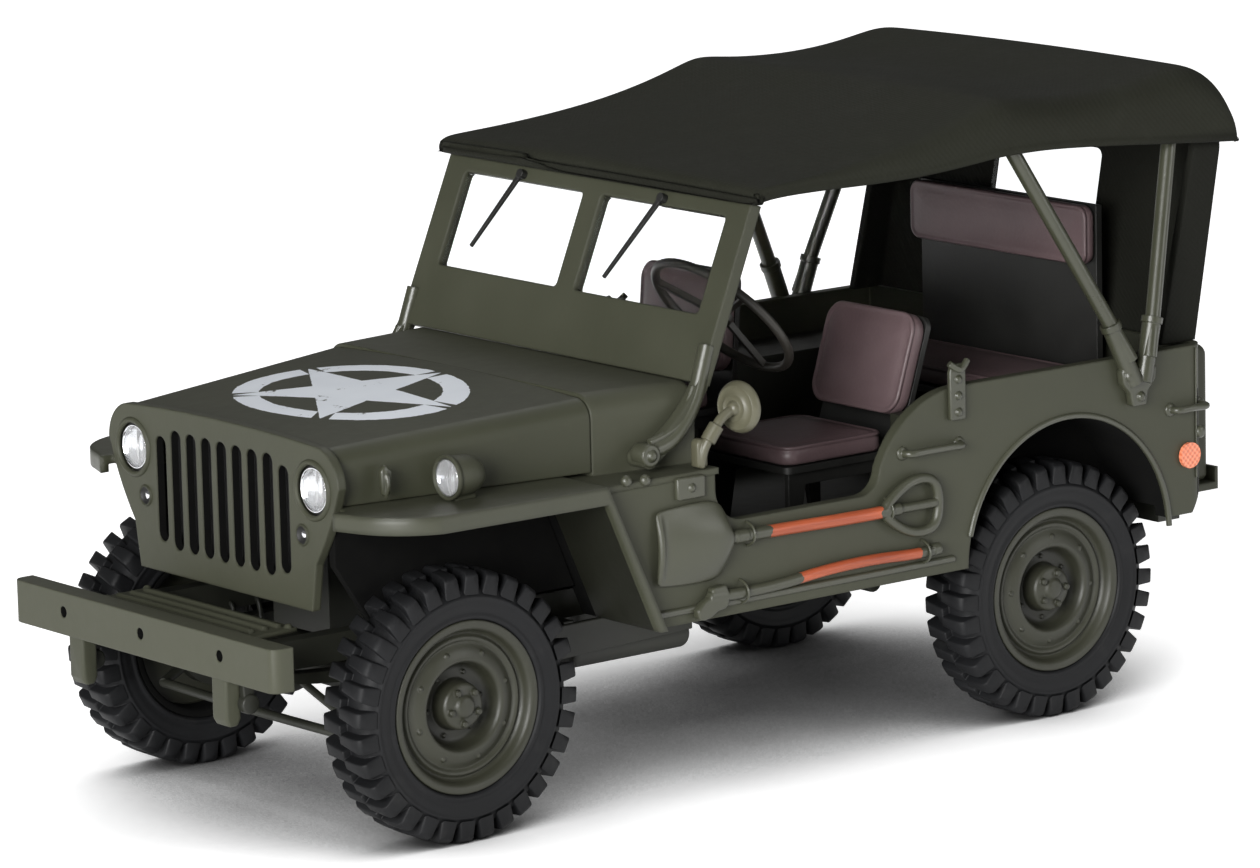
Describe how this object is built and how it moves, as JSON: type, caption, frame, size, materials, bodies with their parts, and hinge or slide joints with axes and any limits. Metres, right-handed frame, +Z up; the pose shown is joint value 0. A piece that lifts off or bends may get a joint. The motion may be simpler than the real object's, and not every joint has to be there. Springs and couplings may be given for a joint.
{
  "type": "military utility car scale model",
  "caption": "Display model of an open four-wheel-drive army car with its canvas top up, seats, tools and free-rolling wheels.",
  "frame": {"origin": "on the ground under the middle of the overall length and width", "axes": "+X forward, +Y to the car's left, +Z up"},
  "size_m": [0.0776, 0.0366, 0.0415],
  "materials": {
    "olive_body": "satin",
    "olive_rim": "satin",
    "tyre": "matt",
    "chassis": "matt",
    "steel_pin": "bright",
    "chrome_lamp": "bright",
    "clear": "clear",
    "canvas": "fine matt grain",
    "seat": "satin",
    "mirror_back": "satin",
    "orange": "gloss",
    "red_lamp": "gloss"
  },
  "bodies": {
    "car": {"axe": "olive_body", "body_tub": "olive_body", "bow_brackets": "olive_body", "can_rack": "olive_body", "chassis_frame": "chassis", "cowl": "olive_body", "dashboard": "olive_body", "drive_shafts": "chassis", "driver_seat_frame": "chassis", "driver_seat_pads": "seat", "fender_lamp": "olive_body", "front_axle_housing": "chassis", "front_bumper": "olive_body", "front_fender_left": "olive_body", "front_fender_right": "olive_body", "front_springs": "chassis", "front_top_bow": "olive_body", "fuel_can": "olive_body", "grab_handles": "olive_body", "grille_panel": "olive_body", "hood": "olive_body", "lamp_bowls": "chrome_lamp", "lamp_lenses": "clear", "levers": "chassis", "muffler": "chassis", "passenger_seat_frame": "chassis", "passenger_seat_pads": "seat", "power_unit": "chassis", "radiator": "chassis", "rear_axle_housing": "chassis", "rear_curtain": "canvas", "rear_lamps": "red_lamp", "rear_seat_frame": "chassis", "rear_seat_pads": "seat", "rear_springs": "chassis", "rear_top_bow": "olive_body", "rear_window": "clear", "shovel": "olive_body", "side_mirror": "mirror_back", "side_reflectors": "orange", "soft_top": "canvas", "spare_bracket": "olive_body", "spare_rim": "olive_rim", "spare_tyre": "tyre", "steering_column": "chassis", "steering_wheel": "chassis", "tow_hook": "chassis", "windshield_frame": "olive_body", "windshield_glass": "clear", "wipers": "chassis"},
    "front_wheelset": {"front_axle_pin": "steel_pin", "front_rim_left": "olive_rim", "front_rim_right": "olive_rim", "front_tyre_left": "tyre", "front_tyre_right": "tyre"},
    "rear_wheelset": {"rear_axle_pin": "steel_pin", "rear_rim_left": "olive_rim", "rear_rim_right": "olive_rim", "rear_tyre_left": "tyre", "rear_tyre_right": "tyre"}
  },
  "joints": [
    {"name": "front_wheels_roll", "type": "hinge", "parent": "car", "child": "front_wheelset", "pos_m": [0.0257, 0, 0.00836], "axis": [0, 1, 0], "continuous": true},
    {"name": "rear_wheels_roll", "type": "hinge", "parent": "car", "child": "rear_wheelset", "pos_m": [-0.0218, 0, 0.00836], "axis": [0, 1, 0], "continuous": true}
  ]
}
